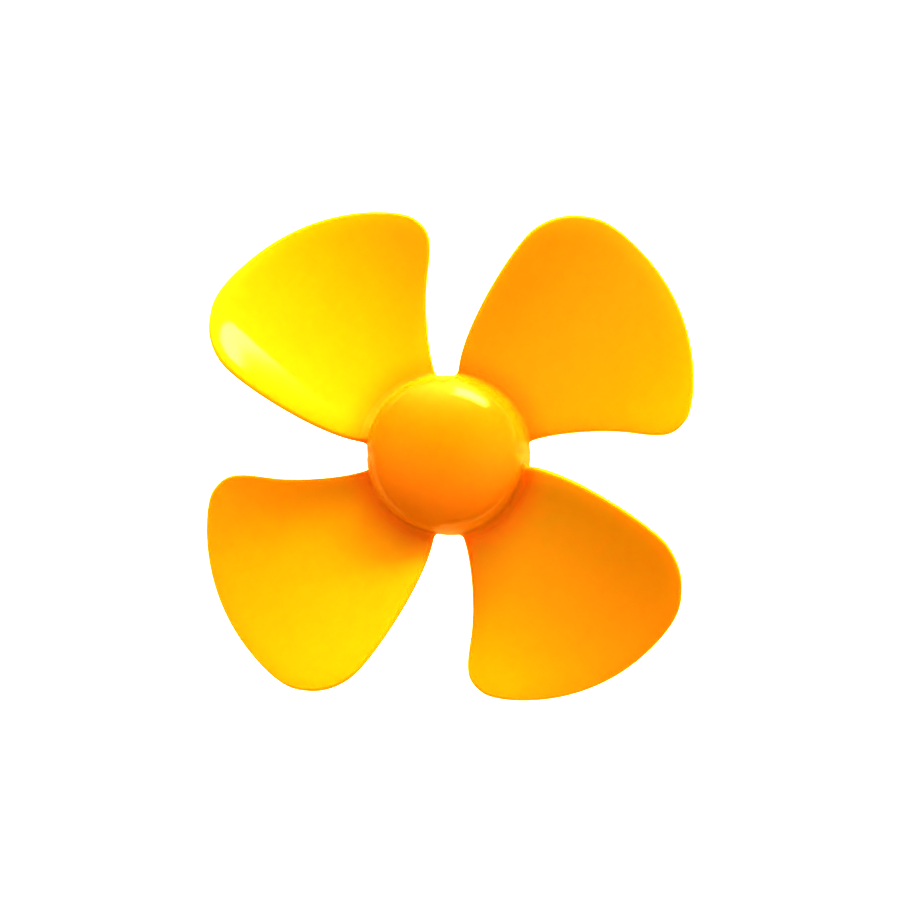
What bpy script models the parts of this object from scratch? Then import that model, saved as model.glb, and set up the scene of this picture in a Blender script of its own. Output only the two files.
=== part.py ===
"""Small four-bladed fan propeller, moulded in one piece of plastic for a thin motor shaft.

Metres. +Z runs along the shaft, from the open back of the hub to its domed front. The origin is
the centre of the hub's rear rim, which is the plane that the propeller rests on.
"""

import math

import bmesh
import bpy
from mathutils import Matrix, Vector
from mathutils.geometry import interpolate_bezier

MM = 0.001

# Hub cap
RIM_RADIUS = 10.6 * MM
SHOULDER_RADIUS = 10.4 * MM
SKIRT_HEIGHT = 10.4 * MM
DOME_HEIGHT = 4.1 * MM
DOME_POWER = 1.5
SKIRT_WALL = 1.3 * MM
DOME_WALL = 1.4 * MM
HUB_SEGMENTS = 64
DOME_STEPS = 8

# Shaft boss, bore and cross ribs inside the cap
BOSS_RADIUS = 2.7 * MM
BOSS_END = 1.5 * MM
BORE_RADIUS = 1.0 * MM
BORE_DEPTH = 10.0 * MM
BOSS_SEGMENTS = 24
RIB_THICKNESS = 0.9 * MM
RIB_END = 2.5 * MM
RIB_ANGLES = (0.0, 90.0)

# Blades
BLADE_COUNT = 4
FIRST_BLADE_ANGLE = 45.0
BLADE_MID_HEIGHT = 4.6 * MM
ROOT_RADIUS = 9.75 * MM
TIP_RADIUS = 37.5 * MM
ROOT_PITCH = 18.0
TIP_PITCH = 14.0
PITCH_LINE_ANGLE = -6.0
CAMBER_RADIUS = 34.0 * MM
ROOT_THICKNESS = 1.4 * MM
TIP_THICKNESS = 0.9 * MM
ROOT_FILLET = 0.9 * MM

# Blade outline seen along the shaft, in millimetres, with the blade's own axis along +X. It runs
# from the root up the trailing edge, round the outer edge and back down the leading edge.
# Each knot is x, y, heading in degrees, length of the handle before it and of the one after it.
BLADE_OUTLINE = (
    (7.8, -5.9, -17.0, 0.0, 3.5),
    (19.4, -15.4, -54.0, 4.0, 4.8),
    (25.8, -19.2, 8.0, 2.7, 1.8),
    (37.4, 0.4, 88.0, 12.5, 6.5),
    (34.8, 9.6, 131.0, 2.0, 2.2),
    (28.2, 12.4, 182.0, 2.5, 5.3),
    (8.1, 5.8, 233.0, 4.3, 0.0),
)
TRAILING_CORNER = 2
LEADING_CORNER = 4

# Mesh of one blade
CHORD_CELLS = 12
SPAN_CELLS = 10
EDGE_INSETS = (0.0, 0.3, 1.0)
FILLET_ROWS = (0.15, 0.5, 1.0)
BEZIER_STEPS = 24

PLASTIC_COLOUR = (1.0, 0.36, 0.0, 1.0)
PLASTIC_ROUGHNESS = 0.25


def clear_scene():
    for obj in list(bpy.data.objects):
        bpy.data.objects.remove(obj, do_unlink=True)


def new_collection(name):
    collection = bpy.data.collections.new(name)
    bpy.context.scene.collection.children.link(collection)
    return collection


def plastic():
    material = bpy.data.materials.new("orange_yellow_plastic")
    material.use_nodes = True
    shader = material.node_tree.nodes["Principled BSDF"]
    shader.inputs["Base Color"].default_value = PLASTIC_COLOUR
    shader.inputs["Roughness"].default_value = PLASTIC_ROUGHNESS
    shader.inputs["Metallic"].default_value = 0.0
    return material


def add_object(name, data, collection):
    obj = bpy.data.objects.new(name, data)
    collection.objects.link(obj)
    return obj


def mesh_object(name, shape, collection):
    mesh = bpy.data.meshes.new(name)
    shape.to_mesh(mesh)
    shape.free()
    return add_object(name, mesh, collection)


def evaluated_mesh(obj):
    """The object's mesh with its modifiers carried out."""
    bpy.context.view_layer.update()
    return bpy.data.meshes.new_from_object(obj.evaluated_get(bpy.context.evaluated_depsgraph_get()))


def dome_arc(radius, height, shoulder):
    """Points from the shaft axis out to the shoulder, as radius and height.

    A power of 1 would give a quarter ellipse and 2 a parabola; between them the dome is evenly
    round and turns down sharply at the shoulder.
    """
    angles = [math.pi / 2 * step / DOME_STEPS for step in range(DOME_STEPS)]
    arc = [(radius * math.sin(angle), shoulder + height * math.cos(angle) ** DOME_POWER) for angle in angles]
    return arc + [(radius, shoulder)]


def hub_cap(collection):
    """The cap as a turned shell: down the outside from the dome to the rim, then up the inside."""
    outside = dome_arc(SHOULDER_RADIUS, DOME_HEIGHT, SKIRT_HEIGHT)
    outside.append((RIM_RADIUS, 0.0))
    inside = dome_arc(SHOULDER_RADIUS - SKIRT_WALL, DOME_HEIGHT - DOME_WALL, SKIRT_HEIGHT)
    inside.append((RIM_RADIUS - SKIRT_WALL, 0.0))
    shape = bmesh.new()
    points = [shape.verts.new((radius, 0.0, height)) for radius, height in outside + inside[::-1]]
    for start, end in zip(points, points[1:]):
        shape.edges.new((start, end))
    hub = mesh_object("propeller", shape, collection)
    screw = hub.modifiers.new("turn", "SCREW")
    screw.steps = HUB_SEGMENTS
    screw.render_steps = HUB_SEGMENTS
    screw.use_merge_vertices = True
    screw.merge_threshold = 0.00001
    return hub


def cylinder(name, radius, low, high, collection):
    shape = bmesh.new()
    bmesh.ops.create_cone(
        shape,
        cap_ends=True,
        segments=BOSS_SEGMENTS,
        radius1=radius,
        radius2=radius,
        depth=high - low,
        matrix=Matrix.Translation((0.0, 0.0, (low + high) / 2)),
    )
    return mesh_object(name, shape, collection)


def shaft_boss(collection):
    """The boss runs from its end face up into the wall of the dome."""
    top = SKIRT_HEIGHT + DOME_HEIGHT - DOME_WALL * 0.8
    return cylinder("shaft_boss", BOSS_RADIUS, BOSS_END, top, collection)


def cross_rib(angle, collection):
    """An upright web across the cap, whose edge runs inside the wall of the skirt and the dome."""
    arc = dome_arc(SHOULDER_RADIUS - SKIRT_WALL / 2, DOME_HEIGHT - DOME_WALL / 2, SKIRT_HEIGHT)
    side = arc[::-1] + [(-radius, height) for radius, height in arc[1:]]
    outline = [(side[0][0], RIB_END)] + side + [(side[-1][0], RIB_END)]
    curve = bpy.data.curves.new("cross_rib", "CURVE")
    curve.dimensions = "2D"
    curve.fill_mode = "BOTH"
    curve.extrude = RIB_THICKNESS / 2
    spline = curve.splines.new("POLY")
    spline.points.add(len(outline) - 1)
    for point, (across, height) in zip(spline.points, outline):
        point.co = (across, height, 0.0, 1.0)
    spline.use_cyclic_u = True
    flat = add_object("cross_rib_curve", curve, collection)
    shape = bmesh.new()
    shape.from_mesh(evaluated_mesh(flat))
    bpy.data.objects.remove(flat, do_unlink=True)
    bmesh.ops.remove_doubles(shape, verts=shape.verts, dist=0.00001)
    upright = Matrix.Rotation(math.radians(angle), 4, "Z") @ Matrix.Rotation(math.pi / 2, 4, "X")
    bmesh.ops.transform(shape, matrix=upright, verts=shape.verts)
    return mesh_object(f"cross_rib_{angle:.0f}", shape, collection)


def outline_path(knots):
    """Dense points along a chain of Bezier knots, in metres."""
    path = []
    for start, end in zip(knots, knots[1:]):
        first = Vector(start[:2])
        last = Vector(end[:2])
        leave = first + heading_vector(start[2]) * start[4]
        arrive = last - heading_vector(end[2]) * end[3]
        bend = interpolate_bezier(first, leave, arrive, last, BEZIER_STEPS)
        path += bend[1:] if path else bend
    return [point * MM for point in path]


def heading_vector(degrees):
    return Vector((math.cos(math.radians(degrees)), math.sin(math.radians(degrees))))


def path_length(path):
    return sum((end - start).length for start, end in zip(path, path[1:]))


def along(path, distance):
    """The point of a path at a distance from its start, and the path's direction there."""
    for start, end in zip(path, path[1:]):
        step = end - start
        if distance <= step.length or end is path[-1]:
            return start + step * (distance / step.length), step.normalized()
        distance -= step.length


def blade_rows(length):
    """Distances from the root along an edge: the wall, the root fillet, then steps that shorten
    towards the rounded corner of the blade."""
    in_wall = SHOULDER_RADIUS - ROOT_RADIUS
    near = [0.0, in_wall] + [in_wall + ROOT_FILLET * row for row in FILLET_ROWS]
    shares = [cell / SPAN_CELLS for cell in range(1, SPAN_CELLS + 1)]
    eased = [(share + math.sin(math.pi / 2 * share)) / 2 for share in shares]
    return near + [near[-1] + (length - near[-1]) * share for share in eased]


def blade_columns(length):
    """Distances along the outer edge, closer together at its two rounded ends."""
    shares = [cell / CHORD_CELLS for cell in range(1, CHORD_CELLS)]
    return [length * (share + (1 - math.cos(math.pi * share)) / 2) / 2 for share in shares]


def pitch_tangent(radius):
    """Rise of the blade for each metre round the shaft: steep at the root, flatter at the tip."""
    share = (radius - ROOT_RADIUS) / (TIP_RADIUS - ROOT_RADIUS)
    return math.tan(math.radians(ROOT_PITCH + (TIP_PITCH - ROOT_PITCH) * share))


def blade_height(place):
    """Height of the blade's middle surface over a point of its plan: pitched, and hollow in front."""
    arc = place.length * (math.atan2(place.y, place.x) - math.radians(PITCH_LINE_ANGLE))
    return BLADE_MID_HEIGHT + arc * pitch_tangent(place.length) + arc**2 / (2 * CAMBER_RADIUS)


def blade_normal(place):
    """Upward unit normal of the middle surface, from its slope over a short step each way."""
    step = 0.1 * MM
    across = Vector((step, 0.0))
    ahead = Vector((0.0, step))
    slope_x = (blade_height(place + across) - blade_height(place - across)) / (2 * step)
    slope_y = (blade_height(place + ahead) - blade_height(place - ahead)) / (2 * step)
    return Vector((-slope_x, -slope_y, 1.0)).normalized()


def half_thickness(place):
    """Half the blade's thickness away from its edges, with the fillet that meets the hub."""
    share = (place.length - ROOT_RADIUS) / (TIP_RADIUS - ROOT_RADIUS)
    plain = (ROOT_THICKNESS + (TIP_THICKNESS - ROOT_THICKNESS) * share) / 2
    gap = min(max(place.length - SHOULDER_RADIUS, 0.0), ROOT_FILLET)
    rise = ROOT_FILLET - math.sqrt(ROOT_FILLET**2 - (ROOT_FILLET - gap) ** 2)
    return plain + rise


def outline_rings():
    """Plan points round the blade from root to root: one list for each inset from the edge.

    The middle stretch of each list is the outer edge, and the rows on its two sides match.
    """
    path = outline_path(BLADE_OUTLINE)
    to_trailing = path_length(path[: TRAILING_CORNER * (BEZIER_STEPS - 1) + 1])
    to_leading = path_length(path[: LEADING_CORNER * (BEZIER_STEPS - 1) + 1])
    whole = path_length(path)
    distances = blade_rows(to_trailing)
    distances += [to_trailing + column for column in blade_columns(to_leading - to_trailing)]
    distances += [whole - row for row in reversed(blade_rows(whole - to_leading))]
    rings = []
    for inset in EDGE_INSETS:
        ring = []
        for distance in distances:
            place, heading = along(path, distance)
            ring.append(place + Vector((-heading.y, heading.x)) * (inset * TIP_THICKNESS / 2))
        rings.append(ring)
    return rings


def root_arc(start, end):
    """Plan points from one side of the root to the other, round the wall of the skirt."""
    sweep = math.atan2(end.y, end.x) - math.atan2(start.y, start.x)
    arc = []
    for column in range(CHORD_CELLS + 1):
        share = column / CHORD_CELLS
        angle = math.degrees(math.atan2(start.y, start.x) + sweep * share)
        radius = start.length + (end.length - start.length) * share
        arc.append(heading_vector(angle) * radius)
    return arc


def plan_patch(ring):
    """Rows of plan points inside a ring, each blended from the four sides that it runs between."""
    rows = (len(ring) - CHORD_CELLS - 1) // 2
    trailing = ring[: rows + 1]
    outer = ring[rows : rows + CHORD_CELLS + 1]
    leading = ring[rows + CHORD_CELLS :][::-1]
    root = root_arc(trailing[0], leading[0])
    patch = []
    for row in range(rows + 1):
        line = []
        for column in range(CHORD_CELLS + 1):
            u = column / CHORD_CELLS
            v = row / rows
            between_sides = trailing[row].lerp(leading[row], u)
            between_ends = root[column].lerp(outer[column], v)
            between_corners = root[0].lerp(root[-1], u).lerp(outer[0].lerp(outer[-1], u), v)
            line.append(between_sides + between_ends - between_corners)
        patch.append(line)
    return patch


def surface_line(places, fullness, side):
    """Points of the front (side 1) or back (side -1) surface over a line of plan points."""
    line = []
    for place in places:
        middle = Vector((place.x, place.y, blade_height(place)))
        line.append(middle + blade_normal(place) * (half_thickness(place) * fullness * side))
    return line


def add_strip(shape, line, next_line):
    """Quads between two lines of points."""
    first = [shape.verts.new(point) for point in line]
    second = [shape.verts.new(point) for point in next_line]
    for corners in zip(first, first[1:], second[1:], second):
        shape.faces.new(corners)


def blade(index, collection):
    """One pitched blade as a closed solid whose root ends inside the wall of the skirt."""
    rings = outline_rings()
    patch = plan_patch(rings[-1])
    fullness = [math.sqrt(1 - (1 - inset) ** 2) for inset in EDGE_INSETS]
    shape = bmesh.new()
    root_lines = []
    for side in (1, -1):
        edge_lines = [surface_line(ring, full, side) for ring, full in zip(rings, fullness)]
        patch_lines = [surface_line(line, 1.0, side) for line in patch]
        for lines in (edge_lines, patch_lines):
            for line, next_line in zip(lines, lines[1:]):
                add_strip(shape, line, next_line)
        starts = [line[0] for line in edge_lines]
        ends = [line[-1] for line in reversed(edge_lines)]
        root_lines.append(starts + patch_lines[0][1:-1] + ends)
    add_strip(shape, *root_lines)
    bmesh.ops.remove_doubles(shape, verts=shape.verts, dist=0.00001)
    bmesh.ops.recalc_face_normals(shape, faces=shape.faces)
    angle = math.radians(FIRST_BLADE_ANGLE + 360.0 * index / BLADE_COUNT)
    bmesh.ops.rotate(shape, cent=(0.0, 0.0, 0.0), matrix=Matrix.Rotation(angle, 3, "Z"), verts=shape.verts)
    return mesh_object(f"blade_{index + 1}", shape, collection)


def combine(target, tool, operation):
    """Joins the tool to the target, or cuts the target with it."""
    tool.hide_render = True
    tool.display_type = "WIRE"
    boolean = target.modifiers.new(f"{operation.lower()}_{tool.name}", "BOOLEAN")
    boolean.operation = operation
    boolean.solver = "EXACT"
    boolean.object = tool


def main():
    clear_scene()
    parts = new_collection("fan_propeller")
    cutters = new_collection("cutters")
    propeller = hub_cap(parts)
    combine(propeller, shaft_boss(cutters), "UNION")
    for angle in RIB_ANGLES:
        combine(propeller, cross_rib(angle, cutters), "UNION")
    for index in range(BLADE_COUNT):
        combine(propeller, blade(index, cutters), "UNION")
    bore = cylinder("shaft_bore", BORE_RADIUS, BOSS_END - MM, BOSS_END + BORE_DEPTH, cutters)
    combine(propeller, bore, "DIFFERENCE")
    solid = evaluated_mesh(propeller)
    propeller.modifiers.clear()
    propeller.data = solid
    solid.materials.clear()
    solid.materials.append(plastic())
    solid.shade_smooth()
    solid.set_sharp_from_angle(angle=math.radians(35.0))


main()
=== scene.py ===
"""Looks of a small four-bladed fan propeller, moulded in one piece of glossy orange-yellow plastic.

Metres, +Z along the shaft. The moulding is one smooth skin: blades that grow out of the skirt of a
domed hub cap, which is hollow from behind and holds a bored boss on two crossing ribs.
"""

import math
from functools import partial

import bmesh
import bpy
from bpy.props import FloatProperty, FloatVectorProperty, IntProperty, PointerProperty
from mathutils import Matrix, Vector
from mathutils.geometry import interpolate_bezier


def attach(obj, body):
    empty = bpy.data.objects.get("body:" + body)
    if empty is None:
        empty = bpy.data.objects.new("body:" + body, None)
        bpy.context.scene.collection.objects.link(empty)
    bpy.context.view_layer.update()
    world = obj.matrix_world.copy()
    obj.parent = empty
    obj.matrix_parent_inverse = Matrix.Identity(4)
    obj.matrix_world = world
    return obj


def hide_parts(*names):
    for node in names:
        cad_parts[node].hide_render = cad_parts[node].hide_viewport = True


bl_info = {
    "name": "Fan Propeller",
    "version": (1, 0, 0),
    "blender": (4, 5, 0),
    "location": "View3D > Sidebar > Propeller",
    "description": "Builds a glossy moulded fan propeller and the studio that it lies in",
    "category": "Object",
}

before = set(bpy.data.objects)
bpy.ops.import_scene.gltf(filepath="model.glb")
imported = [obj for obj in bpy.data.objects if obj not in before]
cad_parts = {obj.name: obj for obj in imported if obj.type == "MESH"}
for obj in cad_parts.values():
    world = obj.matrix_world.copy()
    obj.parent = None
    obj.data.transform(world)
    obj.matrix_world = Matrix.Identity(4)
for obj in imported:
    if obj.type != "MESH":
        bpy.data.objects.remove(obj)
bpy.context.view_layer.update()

MM = 0.001

# Blade outline seen along the shaft, in millimetres, with the blade's own axis along +X. It runs
# from the root up the trailing edge, round the outer edge and back down the leading edge.
# Each knot is x, y, heading in degrees, length of the handle before it and of the one after it.
BLADE_OUTLINE = (
    (7.8, -5.9, -17.0, 0.0, 3.5),
    (19.4, -15.4, -54.0, 4.0, 4.8),
    (25.8, -19.2, 8.0, 2.7, 1.8),
    (37.4, 0.4, 88.0, 12.5, 6.5),
    (34.8, 9.6, 131.0, 2.0, 2.2),
    (28.2, 12.4, 182.0, 2.5, 5.3),
    (8.1, 5.8, 233.0, 4.3, 0.0),
)
TRAILING_CORNER = 2
LEADING_CORNER = 4
BEZIER_STEPS = 48

# Cells of the skin before it is smoothed
CHORD_CELLS = 24
SPAN_CELLS = 26
EDGE_CELLS = 6
FILLET_CELLS = 5
WALL_CELLS = 5
DOME_CELLS = 7
LIP_CELLS = 3
POCKET_CELLS = 9

# Turn up the dome, from the shoulder at 0 to the top at a quarter turn: its first and last ring
DOME_START = 0.45
DOME_END = 1.25

# Rings inside the skirt between rim and ribs, and rows of a pocket from boss to skirt and from the
# ribs' edge to the ceiling, all as shares of the way; a row close to an edge keeps that edge crisp
SKIRT_RINGS = (0.4, 0.85, 1.0)
POCKET_OUT = [0.0, 0.04] + [
    math.sin(math.pi / 2 * cell / POCKET_CELLS) for cell in range(1, POCKET_CELLS + 1)
]
POCKET_UP = (0.0, 0.03, 0.3, 0.65, 0.95, 1.0)

# The middle ring of a rounding lies this share of its radius inside the corner, and a ring this
# many radii from the corner keeps the wall beside it straight
ROUNDING_MIDDLE = 0.3
ROUNDING_HOLD = 1.5

# Points of neighbouring sheets that lie closer than this are one
MERGE_DISTANCE = 0.002 * MM

# Two noises, in cells a metre: faint clouds in the plastic and the fine grain of its surface. The
# clouds sway colour and roughness by these amounts, and the grain sways roughness and height.
CLOUDS = {"Scale": 90.0, "Detail": 2.0}
GRAIN = {"Scale": 2200.0, "Detail": 3.0}
NOISE_MEAN = 0.5
CLOUDS_IN_COLOUR = 0.1
CLOUDS_IN_ROUGHNESS = 0.02
GRAIN_IN_ROUGHNESS = 0.01
GRAIN_DEPTH = 0.01 * MM
GRAIN_STRENGTH = 0.1

# The share of light that spreads inside the plastic, and how far its red, green and blue get, as
# shares of the glow depth
GLOW_SHARE = 0.6
GLOW_REACH = (1.0, 0.5, 0.1)
REFRACTIVE_INDEX = 1.5

# Where the skirt's satin is full and where it is gone: height above the shoulder in dome heights,
# and distance from the shaft in rim radii
SATIN_HEIGHTS = (-0.6, 0.8)
SATIN_RADII = (1.05, 1.15)

# Bright regions of the sky, which fade out evenly: azimuth and elevation in degrees, brightness
SKY_REGIONS = (
    (90.0, 12.0, 6.1),
    (0.0, 12.0, 1.0),
    (180.0, 12.0, 0.4),
    (0.0, 50.0, 1.25),
    (180.0, 50.0, 1.0),
    (240.0, 50.0, 0.7),
    (300.0, 50.0, 0.85),
)
# How fast a region fades: the power of the cosine of the angle from its middle
REGION_POWER = 6.0
# Metres from the propeller to the window
WINDOW_DISTANCE = 1.5

SHEET_TONE = (0.8, 0.8, 0.8, 1.0)
SHEET_ROUGHNESS = 0.9
WHITE = (1.0, 1.0, 1.0, 1.0)
FLOOR_CELLS = 8

# The camera's sensor in millimetres, as Blender takes it, and the nearest thing that it sees
SENSOR_WIDTH = 36.0
NEAREST_VIEW = 10.0 * MM
DISPLAY_GAMMA = 0.5


class HubSizes(bpy.types.PropertyGroup):
    """The domed cap in the middle."""

    rim_radius: FloatProperty(
        name="Rim radius", description="Outer radius at the open end",
        default=10.6 * MM, unit="LENGTH",
    )
    shoulder_radius: FloatProperty(
        name="Shoulder radius", description="Outer radius where the dome starts",
        default=10.4 * MM, unit="LENGTH",
    )
    skirt_height: FloatProperty(
        name="Skirt height", description="From the rim up to the dome",
        default=10.4 * MM, unit="LENGTH",
    )
    dome_height: FloatProperty(
        name="Dome height", description="Rise of the dome above the skirt",
        default=4.1 * MM, unit="LENGTH",
    )
    dome_power: FloatProperty(
        name="Dome roundness", description="1 gives half an ellipse, 2 a parabola",
        default=1.5, min=1.0, max=2.0,
    )
    skirt_wall: FloatProperty(
        name="Skirt wall", description="Thickness of the skirt", default=1.3 * MM, unit="LENGTH"
    )
    dome_wall: FloatProperty(
        name="Dome wall", description="Thickness at the top of the dome",
        default=1.4 * MM, unit="LENGTH",
    )
    lip_round: FloatProperty(
        name="Lip rounding", description="Radius on the edges of the rim",
        default=0.3 * MM, unit="LENGTH",
    )


class BladeSizes(bpy.types.PropertyGroup):
    """The blades, whose outline in plan is BLADE_OUTLINE."""

    count: IntProperty(name="Blades", description="Number of blades", default=4, min=2, max=8)
    first_angle: FloatProperty(
        name="First blade", description="Direction of the first blade's axis",
        default=math.radians(45.0), subtype="ANGLE",
    )
    mid_height: FloatProperty(
        name="Mid height", description="Height of the pitch line above the rim",
        default=4.6 * MM, unit="LENGTH",
    )
    root_radius: FloatProperty(
        name="Root radius", description="Radius that the root's pitch and thickness are given for",
        default=9.75 * MM, unit="LENGTH",
    )
    tip_radius: FloatProperty(
        name="Tip radius", description="Radius of the circle round the tips",
        default=37.5 * MM, unit="LENGTH",
    )
    root_pitch: FloatProperty(
        name="Root pitch", description="Slope of a blade at its root",
        default=math.radians(18.0), subtype="ANGLE",
    )
    tip_pitch: FloatProperty(
        name="Tip pitch", description="Slope of a blade at its tip",
        default=math.radians(14.0), subtype="ANGLE",
    )
    pitch_line: FloatProperty(
        name="Pitch line", description="Direction, from the blade's axis, of the line that stays level",
        default=math.radians(-6.0), subtype="ANGLE",
    )
    camber_radius: FloatProperty(
        name="Camber radius", description="Radius of the hollow front of a blade, round the shaft",
        default=34.0 * MM, unit="LENGTH",
    )
    root_thickness: FloatProperty(
        name="Root thickness", description="Thickness at the hub", default=1.4 * MM, unit="LENGTH"
    )
    tip_thickness: FloatProperty(
        name="Tip thickness", description="Thickness at the tip", default=0.9 * MM, unit="LENGTH"
    )
    root_fillet: FloatProperty(
        name="Root fillet", description="Radius between blade and skirt",
        default=0.9 * MM, unit="LENGTH",
    )
    edge_inset: FloatProperty(
        name="Edge inset", description="How far inside the outline the smooth edge stays",
        default=0.04 * MM, unit="LENGTH",
    )
    edge_width: FloatProperty(
        name="Thinning width", description="How far in from its edge a blade gets thinner",
        default=2.4 * MM, unit="LENGTH",
    )
    edge_share: FloatProperty(
        name="Edge thickness", description="Thickness at the edge as a share of the full one",
        default=0.5, min=0.1, max=1.0, subtype="FACTOR",
    )


class InsideSizes(bpy.types.PropertyGroup):
    """What the open back of the cap shows."""

    boss_radius: FloatProperty(
        name="Boss radius", description="Radius of the shaft boss", default=2.7 * MM, unit="LENGTH"
    )
    boss_end: FloatProperty(
        name="Boss end", description="Height of the boss's face above the rim",
        default=1.5 * MM, unit="LENGTH",
    )
    bore_radius: FloatProperty(
        name="Bore radius", description="Radius of the hole for the shaft",
        default=1.0 * MM, unit="LENGTH",
    )
    bore_depth: FloatProperty(
        name="Bore depth", description="Depth of the blind hole", default=10.0 * MM, unit="LENGTH"
    )
    rib_thickness: FloatProperty(
        name="Rib thickness", description="Thickness of the crossing ribs",
        default=0.9 * MM, unit="LENGTH",
    )
    rib_end: FloatProperty(
        name="Rib end", description="Height of the ribs' edge above the rim",
        default=2.5 * MM, unit="LENGTH",
    )
    boss_edge: FloatProperty(
        name="Boss edge", description="Rounding of the boss's outer edge",
        default=0.25 * MM, unit="LENGTH",
    )
    bore_mouth: FloatProperty(
        name="Bore mouth", description="Chamfer at the mouth of the bore",
        default=0.2 * MM, unit="LENGTH",
    )


class PlasticFinish(bpy.types.PropertyGroup):
    """The moulded plastic."""

    # Painted shade: the hub's deeper, redder orange stands partly for the shade and the light bounced
    # between orange parts that redden the hub, and partly for the real deeper tone of thick plastic.
    hub_colour_and_shade: FloatVectorProperty(
        name="Deep colour", description="Orange of the thick hub", default=(0.88, 0.38, 0.0),
        size=3, subtype="COLOR", min=0.0, max=1.0,
    )
    # Painted glow: the blades' paler yellow stands partly for light shining through the thin plastic,
    # and partly for the real paler tone of thin plastic.
    blade_colour_and_glow: FloatVectorProperty(
        name="Pale colour", description="Yellower tone of the thin blades", default=(0.80, 0.49, 0.0),
        size=3, subtype="COLOR", min=0.0, max=1.0,
    )
    # Radii between which the hub's painted shade turns into the blades' painted glow.
    glow_from_radius: FloatProperty(
        name="Deep out to", description="Radius where the colour starts to turn paler",
        default=9.5 * MM, unit="LENGTH",
    )
    glow_full_radius: FloatProperty(
        name="Pale from", description="Radius from which the colour is fully pale",
        default=15.0 * MM, unit="LENGTH",
    )
    glint: FloatVectorProperty(
        name="Glint tint", description="Tint of the reflections", default=(1.0, 0.97, 0.55),
        size=3, subtype="COLOR", min=0.0, max=1.0,
    )
    roughness: FloatProperty(
        name="Roughness", description="Mean roughness of the blades and the dome",
        default=0.06, min=0.0, max=1.0, subtype="FACTOR",
    )
    skirt_roughness: FloatProperty(
        name="Skirt roughness", description="Roughness of the skirt, which drags along the mould",
        default=0.6, min=0.0, max=1.0, subtype="FACTOR",
    )
    glow_depth: FloatProperty(
        name="Glow depth", description="How far light spreads inside the plastic",
        default=1.5 * MM, unit="LENGTH",
    )


class StudioSettings(bpy.types.PropertyGroup):
    """Floor, light and camera."""

    camera_distance: FloatProperty(
        name="Camera distance", description="From the middle of the propeller",
        default=600.0 * MM, unit="LENGTH",
    )
    frame_width: FloatProperty(
        name="Width in view", description="Width that the square picture takes in",
        default=119.47 * MM, unit="LENGTH",
    )
    lean_right: FloatProperty(
        name="Lean right", description="Camera's lean to the right",
        default=math.radians(5.48), subtype="ANGLE",
    )
    lean_down: FloatProperty(
        name="Lean down", description="Camera's lean to the foot of the picture",
        default=math.radians(2.18), subtype="ANGLE",
    )
    aim_height: FloatProperty(
        name="Aim height", description="Height of the point on the shaft that the camera turns round",
        default=7.5 * MM, unit="LENGTH",
    )
    aside: FloatProperty(
        name="Aside", description="How far right of the shaft the middle of the picture lies",
        default=0.47 * MM, unit="LENGTH",
    )
    above: FloatProperty(
        name="Above", description="How far above the shaft the middle of the picture lies",
        default=0.58 * MM, unit="LENGTH",
    )
    window_azimuth: FloatProperty(
        name="Window direction", description="Direction of the bright window, round the shaft",
        default=math.radians(69.7), subtype="ANGLE",
    )
    window_elevation: FloatProperty(
        name="Window height", description="Angle of the window above the floor",
        default=math.radians(24.5), subtype="ANGLE",
    )
    window_width: FloatProperty(
        name="Window width", description="Width of the window as seen from the propeller",
        default=math.radians(28.6), subtype="ANGLE",
    )
    window_rise: FloatProperty(
        name="Window rise", description="Height of the window as seen from the propeller",
        default=math.radians(13.0), subtype="ANGLE",
    )
    window_light: FloatProperty(
        name="Window light", description="Radiance of the window",
        default=20.0, min=0.0,
    )
    sky: FloatProperty(
        name="Sky", description="Strength of the even light all round",
        default=0.03, min=0.0,
    )
    floor_glow: FloatProperty(
        name="Floor glow", description="Light that the sheet gives off",
        default=0.9, min=0.0,
    )
    floor_reach: FloatProperty(
        name="Floor reach", description="From the middle of the floor to its sides",
        default=1.0, unit="LENGTH",
    )


def outline_path(knots):
    """Dense points along a chain of Bezier knots, in metres."""
    path = []
    for start, end in zip(knots, knots[1:]):
        first = Vector(start[:2])
        last = Vector(end[:2])
        leave = first + heading_vector(math.radians(start[2])) * start[4]
        arrive = last - heading_vector(math.radians(end[2])) * end[3]
        bend = interpolate_bezier(first, leave, arrive, last, BEZIER_STEPS)
        path += bend[1:] if path else bend
    return [point * MM for point in path]


def heading_vector(angle):
    return Vector((math.cos(angle), math.sin(angle)))


def path_length(path):
    return sum((end - start).length for start, end in zip(path, path[1:]))


def along(path, distance):
    """The point of a path at a distance from its start, and the path's direction there."""
    for start, end in zip(path, path[1:]):
        step = end - start
        if distance <= step.length or end is path[-1]:
            return start + step * (distance / step.length), step.normalized()
        distance -= step.length


def distance_to_radius(path, radius):
    """How far along a path its distance from the shaft first reaches a radius."""
    distance = 0.0
    for start, end in zip(path, path[1:]):
        step = (end - start).length
        if end.length >= radius:
            return distance + step * (radius - start.length) / (end.length - start.length)
        distance += step


def add_sheet(shape, rows, closed=False):
    """Quads between neighbouring rows of points; closed rows join their last point to their first."""
    grid = [[shape.verts.new(point) for point in row] for row in rows]
    for low, high in zip(grid, grid[1:]):
        pairs = list(zip(low, high))
        if closed:
            pairs.append(pairs[0])
        for (a, b), (c, d) in zip(pairs, pairs[1:]):
            shape.faces.new((a, c, d, b))


def plan_patch(low, high, first, last):
    """Rows of plan points blended from four sides: low and high rows, first and last columns."""
    rows = len(first) - 1
    columns = len(low) - 1
    patch = []
    for row in range(rows + 1):
        v = row / rows
        line = []
        for column in range(columns + 1):
            u = column / columns
            between_sides = first[row].lerp(last[row], u)
            between_ends = low[column].lerp(high[column], v)
            corners = low[0].lerp(low[-1], u).lerp(high[0].lerp(high[-1], u), v)
            line.append(between_sides + between_ends - corners)
        patch.append(line)
    return patch


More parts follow.
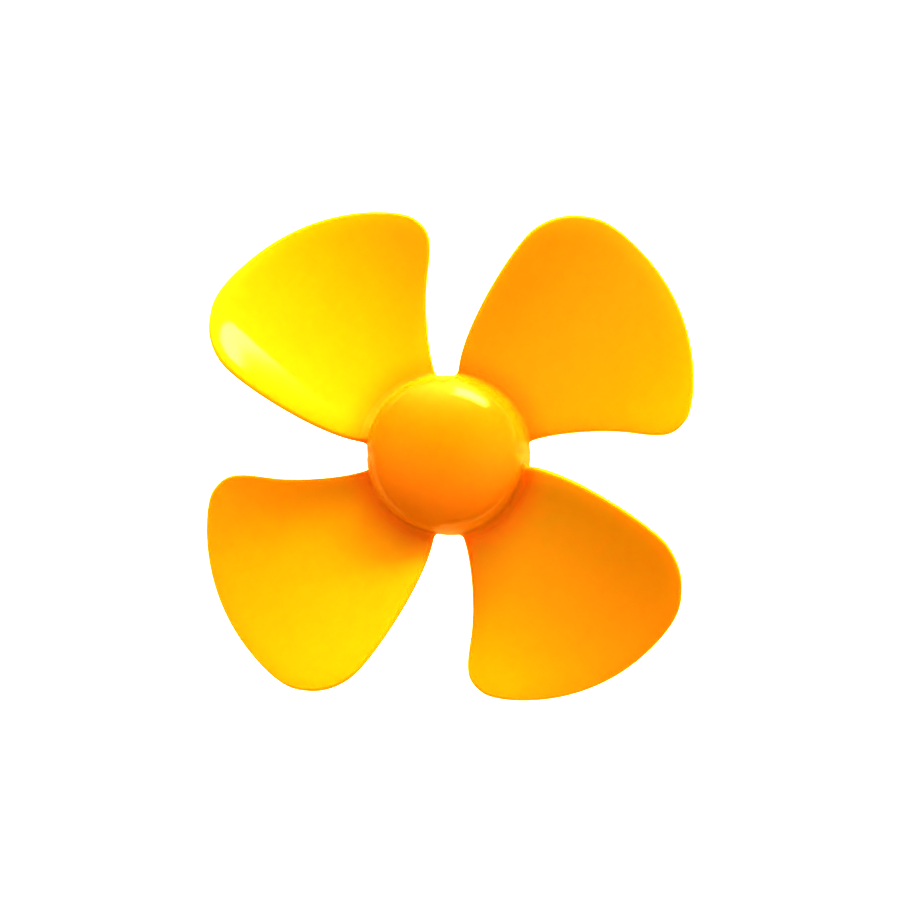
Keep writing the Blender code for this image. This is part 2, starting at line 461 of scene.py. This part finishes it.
class CapForm:
    """Outer and inner surface of the hub cap: radii at a height, and heights at a radius."""

    def __init__(self, hub):
        self.hub = hub
        self.inner_rim = hub.rim_radius - hub.skirt_wall
        self.inner_shoulder = hub.shoulder_radius - hub.skirt_wall
        self.inner_rise = hub.dome_height - hub.dome_wall

    def outer(self, height):
        """Radius of the outer surface at a height on the skirt or low on the dome."""
        hub = self.hub
        if height <= hub.skirt_height:
            return hub.rim_radius + (hub.shoulder_radius - hub.rim_radius) * height / hub.skirt_height
        climb = ((height - hub.skirt_height) / hub.dome_height) ** (2 / hub.dome_power)
        return hub.shoulder_radius * math.sqrt(1 - climb)

    def inner(self, height):
        """Radius of the skirt's inside."""
        return self.inner_rim + (self.inner_shoulder - self.inner_rim) * height / self.hub.skirt_height

    def dome_ring(self, turn):
        """Radius and height of the dome at a turn from the shoulder (0) to the top (a quarter)."""
        hub = self.hub
        rise = hub.dome_height * math.sin(turn) ** hub.dome_power
        return hub.shoulder_radius * math.cos(turn), hub.skirt_height + rise

    def dome(self, radius):
        return self.level(radius, self.hub.shoulder_radius, self.hub.dome_height)

    def ceiling(self, radius):
        return self.level(radius, self.inner_shoulder, self.inner_rise)

    def level(self, radius, shoulder, rise):
        fall = max(0.0, 1 - (radius / shoulder) ** 2)
        return self.hub.skirt_height + rise * fall ** (self.hub.dome_power / 2)


def turned(radius, height, angle):
    return Vector((radius * math.cos(angle), radius * math.sin(angle), height))


class BladeForm:
    """Surface of one blade, with the blade's own axis along +X."""

    def __init__(self, hub, blade, cap):
        self.hub = hub
        self.blade = blade
        self.cap = cap
        self.path = outline_path(BLADE_OUTLINE)
        self.back = self.path[::-1]
        self.length = path_length(self.path)
        steps = BEZIER_STEPS - 1
        self.trailing_corner = path_length(self.path[: TRAILING_CORNER * steps + 1])
        self.leading_corner = path_length(self.path[: LEADING_CORNER * steps + 1])
        self.profile = [math.pi * (0.5 - cell / EDGE_CELLS) for cell in range(EDGE_CELLS + 1)]

    def share(self, place):
        blade = self.blade
        return (place.length - blade.root_radius) / (blade.tip_radius - blade.root_radius)

    def height(self, place):
        """Height of the middle surface over a point of the plan."""
        blade = self.blade
        pitch = blade.root_pitch + (blade.tip_pitch - blade.root_pitch) * self.share(place)
        arc = place.length * (math.atan2(place.y, place.x) - blade.pitch_line)
        return blade.mid_height + arc * math.tan(pitch) + arc**2 / (2 * blade.camber_radius)

    def half_thickness(self, place):
        """Half the thickness over a point of the plan: less towards the tip and towards the edges."""
        blade = self.blade
        full = blade.root_thickness + (blade.tip_thickness - blade.root_thickness) * self.share(place)
        outwards = 1 - min(self.distance_to_edge(place) / blade.edge_width, 1.0)
        return full / 2 * (1 - (1 - blade.edge_share) * outwards**2)

    def distance_to_edge(self, place):
        nearest = min(
            range(1, len(self.path) - 1),
            key=lambda index: (self.path[index] - place).length_squared,
        )
        return min(self.distance_to_step(place, nearest - 1), self.distance_to_step(place, nearest))

    def distance_to_step(self, place, index):
        start = self.path[index]
        step = self.path[index + 1] - start
        share = (place - start).dot(step) / step.length_squared
        return (start + step * min(max(share, 0.0), 1.0) - place).length

    def normal(self, place):
        """Upward unit normal of the middle surface, from its slope over a short step each way."""
        step = 0.05 * MM
        across = Vector((step, 0.0))
        ahead = Vector((0.0, step))
        slope_x = (self.height(place + across) - self.height(place - across)) / (2 * step)
        slope_y = (self.height(place + ahead) - self.height(place - ahead)) / (2 * step)
        return Vector((-slope_x, -slope_y, 1.0)).normalized()

    def point(self, place, lift):
        """The surface over a plan point; lift runs from 1 at the front to -1 at the back."""
        middle = Vector((place.x, place.y, self.height(place)))
        return middle + self.normal(place) * (self.half_thickness(place) * lift)

    def inset(self, place, heading, turn):
        """Plan point of the rounded edge, at a turn from the front (90 degrees) to the back (-90)."""
        inward = Vector((-heading.y, heading.x))
        depth = self.blade.edge_inset + self.half_thickness(place) * (1 - math.cos(turn))
        return place + inward * depth

    def edge_section(self, distance):
        """Points across the rounded edge, front to back, at a distance along the outline."""
        place, heading = along(self.path, distance)
        return [self.point(self.inset(place, heading, turn), math.sin(turn)) for turn in self.profile]

    def inner_edge(self, distance):
        place, heading = along(self.path, distance)
        return self.inset(place, heading, math.pi / 2)

    def start_distance(self, radius):
        return distance_to_radius(self.path, radius)

    def end_distance(self, radius):
        return self.length - distance_to_radius(self.back, radius)

    def root_row(self, radius):
        """Plan points across the blade at a radius, from the trailing to the leading edge."""
        start = self.inner_edge(self.start_distance(radius))
        end = self.inner_edge(self.end_distance(radius))
        low = math.atan2(start.y, start.x)
        high = math.atan2(end.y, end.x)
        row = []
        for column in range(CHORD_CELLS + 1):
            share = column / CHORD_CELLS
            reach = start.length + (end.length - start.length) * share
            row.append(heading_vector(low + (high - low) * share) * reach)
        return row

    def section(self, radius):
        """Closed loop round the blade at a radius: front, leading edge, back, trailing edge."""
        row = self.root_row(radius)
        front = [self.point(place, 1.0) for place in row]
        back = [self.point(place, -1.0) for place in reversed(row)]
        leading = self.edge_section(self.end_distance(radius))[1:-1]
        trailing = self.edge_section(self.start_distance(radius))[-2:0:-1]
        return front + leading + back + trailing

    def fillet_loops(self):
        """Loops of angle, height and distance off the wall, from the blade down its root fillet."""
        fillet = self.blade.root_fillet
        wall = self.hub.shoulder_radius
        reaches = [point.xy.length - self.cap.outer(point.z) for point in self.section(wall + fillet)]
        loops = []
        for cell in range(FILLET_CELLS + 1):
            turn = math.pi / 2 * cell / FILLET_CELLS
            closeness = 1 - math.sin(turn)
            spread = fillet * (1 - math.cos(turn))
            flat = []
            for point in self.section(wall + fillet * closeness):
                flat.append(Vector((math.atan2(point.y, point.x) * wall, point.z)))
            loop = []
            neighbours = zip(flat[-1:] + flat[:-1], flat, flat[1:] + flat[:1], reaches)
            for before, here, after, reach in neighbours:
                tangent = (after - before).normalized()
                place = here + Vector((-tangent.y, tangent.x)) * spread
                loop.append((place.x / wall, place.y, reach * closeness))
            loops.append(loop)
        return loops

    def wall_frame(self):
        """Loop of angle and height round the stretch of cap that one blade stands on."""
        half = math.pi / self.blade.count
        low = self.hub.lip_round
        high = self.cap.dome_ring(DOME_START)[1]
        across = [-half + 2 * half * column / CHORD_CELLS for column in range(CHORD_CELLS + 1)]
        down = [high + (low - high) * cell / EDGE_CELLS for cell in range(1, EDGE_CELLS)]
        loop = [(angle, high) for angle in across]
        loop += [(half, height) for height in down]
        loop += [(angle, low) for angle in reversed(across)]
        loop += [(-half, height) for height in reversed(down)]
        return loop

    def on_wall(self, angle, height, off_wall=0.0):
        return turned(self.cap.outer(height) + off_wall, height, angle)

    def root_rows(self):
        """Closed rows from the edge of the blade's stretch of cap, over the fillet, to the blade."""
        loops = self.fillet_loops()
        outside = self.wall_frame()
        rows = []
        for cell in range(WALL_CELLS):
            share = cell / WALL_CELLS
            row = []
            for (angle, height), (to_angle, to_height, _) in zip(outside, loops[-1]):
                row.append(self.on_wall(
                    angle + (to_angle - angle) * share, height + (to_height - height) * share
                ))
            rows.append(row)
        for loop in reversed(loops):
            rows.append([self.on_wall(*place) for place in loop])
        return rows

    def distances(self):
        """Distances along the outline: out along the trailing edge, round, and back to the root."""
        start_radius = self.hub.shoulder_radius + self.blade.root_fillet
        start = self.start_distance(start_radius)
        end = self.end_distance(start_radius)
        shares = [cell / SPAN_CELLS for cell in range(SPAN_CELLS + 1)]
        eased = [(share + math.sin(math.pi / 2 * share)) / 2 for share in shares]
        trailing = [start + (self.trailing_corner - start) * share for share in eased]
        leading = [end + (self.leading_corner - end) * share for share in eased]
        between = self.leading_corner - self.trailing_corner
        outer = []
        for column in range(1, CHORD_CELLS):
            share = column / CHORD_CELLS
            eased_share = (share + (1 - math.cos(math.pi * share)) / 2) / 2
            outer.append(self.trailing_corner + between * eased_share)
        return trailing + outer + leading[::-1]

    def add_to(self, shape):
        """The blade's front, back and rounded edge, its root fillet and its stretch of the cap."""
        distances = self.distances()
        border = [self.inner_edge(distance) for distance in distances]
        first = border[: SPAN_CELLS + 1]
        last = border[::-1][: SPAN_CELLS + 1]
        high = border[SPAN_CELLS : SPAN_CELLS + CHORD_CELLS + 1]
        low = self.root_row(self.hub.shoulder_radius + self.blade.root_fillet)
        patch = plan_patch(low, high, first, last)
        add_sheet(shape, [[self.point(place, 1.0) for place in row] for row in patch])
        add_sheet(shape, [[self.point(place, -1.0) for place in row] for row in patch])
        add_sheet(shape, [self.edge_section(distance) for distance in distances])
        add_sheet(shape, self.root_rows(), closed=True)


def disc_grid(ring, level_at):
    """Rows of points that close a ring: a square grid whose border is the ring's points."""
    side = len(ring) // 4
    loop = ring + ring[:1]
    low, right, high, left = [loop[side * turn : side * (turn + 1) + 1] for turn in range(4)]
    patch = plan_patch(low, high[::-1], left[::-1], right)
    return [[Vector((place.x, place.y, level_at(place.length))) for place in row] for row in patch]


class CapMesh:
    """The cap's own sheets: dome, rim and inside, in columns that match those of the blades' roots.

    Ribs run from the boss to the skirt midway between the blades, two columns wide. A point inside
    is given by its column, its share of the way out from boss to skirt, and its share of the way up
    from the ribs' edge to the ceiling.
    """

    def __init__(self, cap, inside, count, first_angle):
        self.cap = cap
        self.hub = cap.hub
        self.inside = inside
        self.count = count
        self.sector = 2 * math.pi / count
        self.start = first_angle - self.sector / 2

    def skirt_angle(self, column):
        return self.sector * column / CHORD_CELLS

    def boss_angle(self, column):
        """Angle on the boss: the first and last columns of a sector are half a rib thick."""
        if column == 0 or column == CHORD_CELLS:
            return self.sector * column / CHORD_CELLS
        side = math.asin(self.inside.rib_thickness / 2 / self.inside.boss_radius)
        return side + (self.sector - 2 * side) * (column - 1) / (CHORD_CELLS - 2)

    def ring(self, radius, height, angle_of):
        """All points round the shaft at a radius and height."""
        points = []
        for turn in range(self.count):
            for column in range(CHORD_CELLS):
                around = self.start + self.sector * turn + angle_of(column)
                points.append(turned(radius, height, around))
        return points

    def plan(self, column, outward, reach):
        """Plan point inside the cap, in the first sector's own frame."""
        if column > CHORD_CELLS / 2:
            place = self.plan(CHORD_CELLS - column, outward, reach)
            return heading_vector(self.sector - math.atan2(place.y, place.x)) * place.length
        near = heading_vector(self.boss_angle(column)) * self.inside.boss_radius
        far = heading_vector(self.skirt_angle(column)) * reach
        place = near.lerp(far, outward)
        if column == 1 and outward < 1.0:
            place.y = self.inside.rib_thickness / 2
        return place

    def lattice(self, turn, column, outward, upward):
        """A point inside the cap."""
        low = self.inside.rib_end
        reach = self.cap.inner(low + (self.hub.skirt_height - low) * upward)
        place = self.plan(column, outward, reach)
        ceiling = self.cap.ceiling(place.length)
        angle = math.atan2(place.y, place.x) + self.start + self.sector * turn
        return turned(place.length, low + (ceiling - low) * upward, angle)

    def add_dome(self, shape):
        span = DOME_END - DOME_START
        turns = [DOME_START + span * cell / DOME_CELLS for cell in range(DOME_CELLS + 1)]
        rings = [self.ring(*self.cap.dome_ring(turn), self.skirt_angle) for turn in turns]
        add_sheet(shape, rings, closed=True)
        add_sheet(shape, disc_grid([point.xy for point in rings[-1]], self.cap.dome))

    def add_rim(self, shape):
        """The rounded rim, and the skirt's inside up to the ribs' edge."""
        lip = self.hub.lip_round
        outside = self.cap.outer(lip)
        inside = self.cap.inner(lip)
        turns = [math.pi / 2 * cell / LIP_CELLS for cell in range(LIP_CELLS + 1)]
        profile = [(outside - lip * (1 - math.cos(turn)), lip * (1 - math.sin(turn))) for turn in turns]
        for turn in reversed(turns):
            profile.append((inside + lip * (1 - math.cos(turn)), lip * (1 - math.sin(turn))))
        rise = self.inside.rib_end - lip
        for share in SKIRT_RINGS:
            height = lip + rise * share
            profile.append((self.cap.inner(height), height))
        add_sheet(shape, [self.ring(*place, self.skirt_angle) for place in profile], closed=True)

    def add_pockets(self, shape):
        """Between each two ribs a pocket with four walls and a ceiling, and the ribs' own edges."""
        last = CHORD_CELLS - 1
        span = range(1, CHORD_CELLS)
        for turn in range(self.count):
            at = partial(self.lattice, turn)
            add_sheet(shape, [[at(column, out, 1.0) for column in span] for out in POCKET_OUT])
            for out in (0.0, 1.0):
                add_sheet(shape, [[at(column, out, up) for column in span] for up in POCKET_UP])
            for column in (1, last):
                add_sheet(shape, [[at(column, out, up) for out in POCKET_OUT] for up in POCKET_UP])
            for pair in ((0, 1), (last, CHORD_CELLS)):
                add_sheet(shape, [[at(column, out, 0.0) for column in pair] for out in POCKET_OUT])

    def add_boss(self, shape):
        """The end of the boss below the ribs, its face, and the blind bore."""
        inside = self.inside
        end = inside.boss_end
        edge = inside.boss_edge
        mouth = inside.bore_mouth
        bottom = end + inside.bore_depth
        profile = [
            (inside.boss_radius, inside.rib_end),
            (inside.boss_radius, end + edge * ROUNDING_HOLD),
            (inside.boss_radius, end + edge),
            (inside.boss_radius - edge * ROUNDING_MIDDLE, end + edge * ROUNDING_MIDDLE),
            (inside.boss_radius - edge, end),
            (inside.bore_radius + mouth * ROUNDING_HOLD, end),
            (inside.bore_radius + mouth, end),
            (inside.bore_radius, end + mouth),
            (inside.bore_radius, end + 2 * mouth),
            (inside.bore_radius, (end + bottom) / 2),
            (inside.bore_radius, bottom - mouth),
            (inside.bore_radius, bottom),
        ]
        rings = [self.ring(*place, self.boss_angle) for place in profile]
        add_sheet(shape, rings, closed=True)
        add_sheet(shape, disc_grid([point.xy for point in rings[-1]], lambda radius: bottom))

    def add_to(self, shape):
        self.add_dome(shape)
        self.add_rim(shape)
        self.add_pockets(shape)
        self.add_boss(shape)


def close_up(shape):
    """Joins the sheets at their shared borders and turns every face outwards."""
    bmesh.ops.remove_doubles(shape, verts=shape.verts, dist=MERGE_DISTANCE)
    bmesh.ops.recalc_face_normals(shape, faces=shape.faces)
    open_edges = [edge for edge in shape.edges if not edge.is_manifold]
    if open_edges:
        raise RuntimeError(f"the skin has {len(open_edges)} open edges")


def repeat_round(shape, count, first_angle):
    """Turns what is there to the first angle and adds copies of it at even steps round the shaft."""
    first = Matrix.Rotation(first_angle, 3, "Z")
    step = Matrix.Rotation(2 * math.pi / count, 3, "Z")
    bmesh.ops.rotate(shape, verts=shape.verts, cent=(0, 0, 0), matrix=first)
    latest = shape.verts[:] + shape.faces[:]
    for _ in range(count - 1):
        copy = bmesh.ops.duplicate(shape, geom=latest)["geom"]
        points = [part for part in copy if isinstance(part, bmesh.types.BMVert)]
        faces = [part for part in copy if isinstance(part, bmesh.types.BMFace)]
        bmesh.ops.rotate(shape, verts=points, cent=(0, 0, 0), matrix=step)
        latest = points + faces


def object_from(name, shape):
    mesh = bpy.data.meshes.new(name)
    shape.to_mesh(mesh)
    shape.free()
    mesh.shade_smooth()
    obj = bpy.data.objects.new(name, mesh)
    bpy.context.scene.collection.objects.link(obj)
    return obj


class Wire:
    """A node's output that can stand in a sum; each sum adds one Math node."""

    def __init__(self, graph, socket):
        self.graph = graph
        self.socket = socket

    def maths(self, operation, *values):
        return self.graph.node("ShaderNodeMath", {"operation": operation}, dict(enumerate(values)))

    def __add__(self, other):
        return self.maths("ADD", self, other)

    def __radd__(self, other):
        return self.maths("ADD", other, self)

    def __sub__(self, other):
        return self.maths("SUBTRACT", self, other)

    def __rsub__(self, other):
        return self.maths("SUBTRACT", other, self)

    def __mul__(self, other):
        return self.maths("MULTIPLY", self, other)

    def __rmul__(self, other):
        return self.maths("MULTIPLY", other, self)

    def __pow__(self, other):
        return self.maths("POWER", self, other)

    def at_least(self, lowest):
        return self.maths("MAXIMUM", self, lowest)


class Graph:
    """A tree of shader nodes under construction."""

    def __init__(self, tree):
        self.tree = tree

    def node(self, kind, settings, sockets, output=0):
        """Adds a node: its settings first, then the values and links of its inputs."""
        node = self.tree.nodes.new(kind)
        for name, value in settings.items():
            setattr(node, name, value)
        for name, value in sockets.items():
            self.feed(node.inputs[name], value)
        return Wire(self, node.outputs[output])

    def fade(self, value, gone, full):
        """0 where a value is gone, 1 where it is full, and a smooth change between."""
        return self.node(
            "ShaderNodeMapRange", {"interpolation_type": "SMOOTHSTEP"},
            {"Value": value, "From Min": gone, "From Max": full},
        )

    def mix(self, factor, start, end):
        """A blend of two colours, which the Mix node keeps at inputs 6 and 7 and at output 2."""
        return self.node("ShaderNodeMix", {"data_type": "RGBA"}, {0: factor, 6: start, 7: end}, 2)

    def feed(self, socket, value):
        if isinstance(value, Wire):
            self.tree.links.new(value.socket, socket)
        else:
            socket.default_value = value


class Finish(Graph):
    """A material whose own shader is the Principled one."""

    def __init__(self, name):
        self.material = bpy.data.materials.new(name)
        self.material.use_nodes = True
        super().__init__(self.material.node_tree)
        self.shader = self.tree.nodes["Principled BSDF"]

    def set(self, **inputs):
        """Sets or links the shader's own sockets; an underscore in a name stands for a space."""
        for name, value in inputs.items():
            self.feed(self.shader.inputs[name.replace("_", " ")], value)


def plastic(finish, hub):
    """Glossy translucent plastic with faint clouds and a fine grain, deeper in tone at the hub for
    painted shade and paler on the blades for a painted glow of light through them.
    """
    paint = Finish("orange_yellow_plastic")
    place = paint.node("ShaderNodeTexCoord", {}, {}, "Object")
    clouds = paint.node("ShaderNodeTexNoise", {}, {"Vector": place, **CLOUDS})
    grain = paint.node("ShaderNodeTexNoise", {}, {"Vector": place, **GRAIN})
    height = paint.node("ShaderNodeSeparateXYZ", {}, {"Vector": place}, "Z")
    plan = paint.node("ShaderNodeVectorMath", {"operation": "MULTIPLY"}, {0: place, 1: (1.0, 1.0, 0.0)})
    radius = paint.node("ShaderNodeVectorMath", {"operation": "LENGTH"}, {0: plan}, "Value")

    # Painted light: the colour runs from the hub's painted shade out to the blades' painted glow,
    # swayed a little by the clouds.
    painted_glow_share = paint.fade(radius, finish.glow_from_radius, finish.glow_full_radius)
    sway = (1 - CLOUDS_IN_COLOUR) + CLOUDS_IN_COLOUR * clouds
    colour = paint.mix(painted_glow_share * sway, (*finish.hub_colour_and_shade, 1.0), (*finish.blade_colour_and_glow, 1.0))

    full_height, no_height = [hub.skirt_height + hub.dome_height * share for share in SATIN_HEIGHTS]
    full_radius, no_radius = [hub.rim_radius * share for share in SATIN_RADII]
    satin = paint.fade(radius, no_radius, full_radius) * paint.fade(height, no_height, full_height)
    uneven = CLOUDS_IN_ROUGHNESS * (clouds - NOISE_MEAN) + GRAIN_IN_ROUGHNESS * (grain - NOISE_MEAN)
    rougher = finish.skirt_roughness - finish.roughness
    bump = paint.node(
        "ShaderNodeBump", {}, {"Strength": GRAIN_STRENGTH, "Distance": GRAIN_DEPTH, "Height": grain}
    )
    paint.set(
        Base_Color=colour,
        Roughness=finish.roughness + uneven + rougher * satin,
        IOR=REFRACTIVE_INDEX,
        Specular_Tint=(*finish.glint, 1.0),
        Subsurface_Weight=GLOW_SHARE,
        Subsurface_Radius=GLOW_REACH,
        Subsurface_Scale=finish.glow_depth,
        Normal=bump,
    )
    return paint.material


class FAN_OT_moulding(bpy.types.Operator):
    """Builds the one-piece moulding: cap, blades, shaft boss and ribs"""

    bl_idname = "fan.moulding"
    bl_label = "Propeller Moulding"
    bl_options = {"REGISTER", "UNDO"}

    def execute(self, context):
        scene = context.scene
        blade = scene.fan_blade
        cap = CapForm(scene.fan_hub)
        shape = bmesh.new()
        BladeForm(scene.fan_hub, blade, cap).add_to(shape)
        repeat_round(shape, blade.count, blade.first_angle)
        CapMesh(cap, scene.fan_inside, blade.count, blade.first_angle).add_to(shape)
        close_up(shape)
        piece = object_from("propeller_moulding", shape)
        smooth = piece.modifiers.new("smooth", "SUBSURF")
        smooth.levels = 1
        smooth.render_levels = 1
        piece.data.materials.append(plastic(scene.fan_plastic, scene.fan_hub))
        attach(piece, "root")
        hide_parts("propeller")
        return {"FINISHED"}


def sheet_material(studio):
    """A plain white sheet that glows, so that it shows no shadow; from below it can be seen through."""
    paint = Finish("white_sheet")
    paint.set(
        Base_Color=SHEET_TONE,
        Roughness=SHEET_ROUGHNESS,
        Specular_IOR_Level=0.0,
        Emission_Color=WHITE,
        Emission_Strength=studio.floor_glow,
    )
    below = paint.node("ShaderNodeNewGeometry", {}, {}, "Backfacing")
    clear = paint.node("ShaderNodeBsdfTransparent", {}, {})
    lit = Wire(paint, paint.shader.outputs["BSDF"])
    either = paint.node("ShaderNodeMixShader", {}, {0: below, 1: lit, 2: clear})
    paint.feed(paint.tree.nodes["Material Output"].inputs["Surface"], either)
    return paint.material


def direction(azimuth, elevation):
    return Vector((*(heading_vector(azimuth) * math.cos(elevation)), math.sin(elevation)))


def soft_sky(strength, regions):
    """An even white sky with brighter regions that fade out evenly."""
    world = bpy.data.worlds.new("studio")
    world.use_nodes = True
    graph = Graph(world.node_tree)
    towards = graph.node("ShaderNodeTexCoord", {}, {}, "Generated")
    total = strength
    for azimuth, elevation, brightness in regions:
        axis = direction(math.radians(azimuth), math.radians(elevation))
        facing = graph.node(
            "ShaderNodeVectorMath", {"operation": "DOT_PRODUCT"}, {0: towards, 1: axis}, "Value"
        )
        total = facing.at_least(0.0) ** REGION_POWER * brightness + total
    background = world.node_tree.nodes["Background"]
    graph.feed(background.inputs["Color"], WHITE)
    graph.feed(background.inputs["Strength"], total)
    return world


def window_light(azimuth, elevation, width, rise, radiance):
    """A rectangular light in a direction, with the given angular size."""
    towards = direction(azimuth, elevation)
    light = bpy.data.lights.new("window", "AREA")
    light.shape = "RECTANGLE"
    light.size = 2 * WINDOW_DISTANCE * math.tan(width / 2)
    light.size_y = 2 * WINDOW_DISTANCE * math.tan(rise / 2)
    light.energy = radiance * math.pi * light.size * light.size_y
    obj = bpy.data.objects.new("window", light)
    obj.location = towards * WINDOW_DISTANCE
    obj.rotation_mode = "QUATERNION"
    obj.rotation_quaternion = towards.to_track_quat("Z", "Y")
    bpy.context.scene.collection.objects.link(obj)


class FAN_OT_stage(bpy.types.Operator):
    """Builds the white floor, the lights and the camera"""

    bl_idname = "fan.stage"
    bl_label = "Studio"
    bl_options = {"REGISTER", "UNDO"}

    def execute(self, context):
        studio = context.scene.fan_studio
        self.add_floor(studio)
        self.add_lights(studio)
        self.add_camera(context.scene, studio)
        return {"FINISHED"}

    def add_floor(self, studio):
        shape = bmesh.new()
        bmesh.ops.create_grid(
            shape, x_segments=FLOOR_CELLS, y_segments=FLOOR_CELLS, size=studio.floor_reach
        )
        floor = object_from("floor", shape)
        floor.data.materials.append(sheet_material(studio))

    def add_lights(self, studio):
        bpy.context.scene.world = soft_sky(studio.sky, SKY_REGIONS)
        window_light(
            studio.window_azimuth, studio.window_elevation,
            studio.window_width, studio.window_rise, studio.window_light,
        )

    def add_camera(self, scene, studio):
        camera = bpy.data.cameras.new("camera")
        camera.sensor_width = SENSOR_WIDTH
        camera.lens = camera.sensor_width * studio.camera_distance / studio.frame_width
        camera.clip_start = NEAREST_VIEW
        obj = bpy.data.objects.new("camera", camera)
        back = Vector((math.tan(studio.lean_right), -math.tan(studio.lean_down), 1.0)).normalized()
        side = Vector((0, 1, 0)).cross(back).normalized()
        up = back.cross(side)
        middle = Vector((0, 0, studio.aim_height)) + side * studio.aside + up * studio.above
        turn = Matrix((side, up, back)).transposed()
        obj.matrix_world = Matrix.Translation(middle + back * studio.camera_distance) @ turn.to_4x4()
        scene.collection.objects.link(obj)
        scene.camera = obj
        scene.view_settings.view_transform = "Standard"
        scene.view_settings.look = "None"
        scene.view_settings.gamma = DISPLAY_GAMMA


class FAN_PT_panel(bpy.types.Panel):
    """Lists the settings of the propeller and its studio, and the steps that build them"""

    bl_label = "Fan Propeller"
    bl_space_type = "VIEW_3D"
    bl_region_type = "UI"
    bl_category = "Propeller"

    def draw(self, context):
        for operator in OPERATORS:
            self.layout.operator(operator.bl_idname)
        for name, group in GROUPS.items():
            box = self.layout.box()
            box.label(text=group.__doc__)
            for setting in group.__annotations__:
                box.prop(getattr(context.scene, name), setting)


GROUPS = {
    "fan_hub": HubSizes,
    "fan_blade": BladeSizes,
    "fan_inside": InsideSizes,
    "fan_plastic": PlasticFinish,
    "fan_studio": StudioSettings,
}
OPERATORS = (FAN_OT_stage, FAN_OT_moulding)


def register():
    for name, group in GROUPS.items():
        bpy.utils.register_class(group)
        setattr(bpy.types.Scene, name, PointerProperty(type=group))
    for operator in OPERATORS:
        bpy.utils.register_class(operator)
    bpy.utils.register_class(FAN_PT_panel)


def unregister():
    bpy.utils.unregister_class(FAN_PT_panel)
    for operator in reversed(OPERATORS):
        bpy.utils.unregister_class(operator)
    for name, group in reversed(GROUPS.items()):
        delattr(bpy.types.Scene, name)
        bpy.utils.unregister_class(group)


def main():
    register()
    bpy.ops.fan.stage()
    bpy.ops.fan.moulding()


if __name__ == "__main__":
    main()
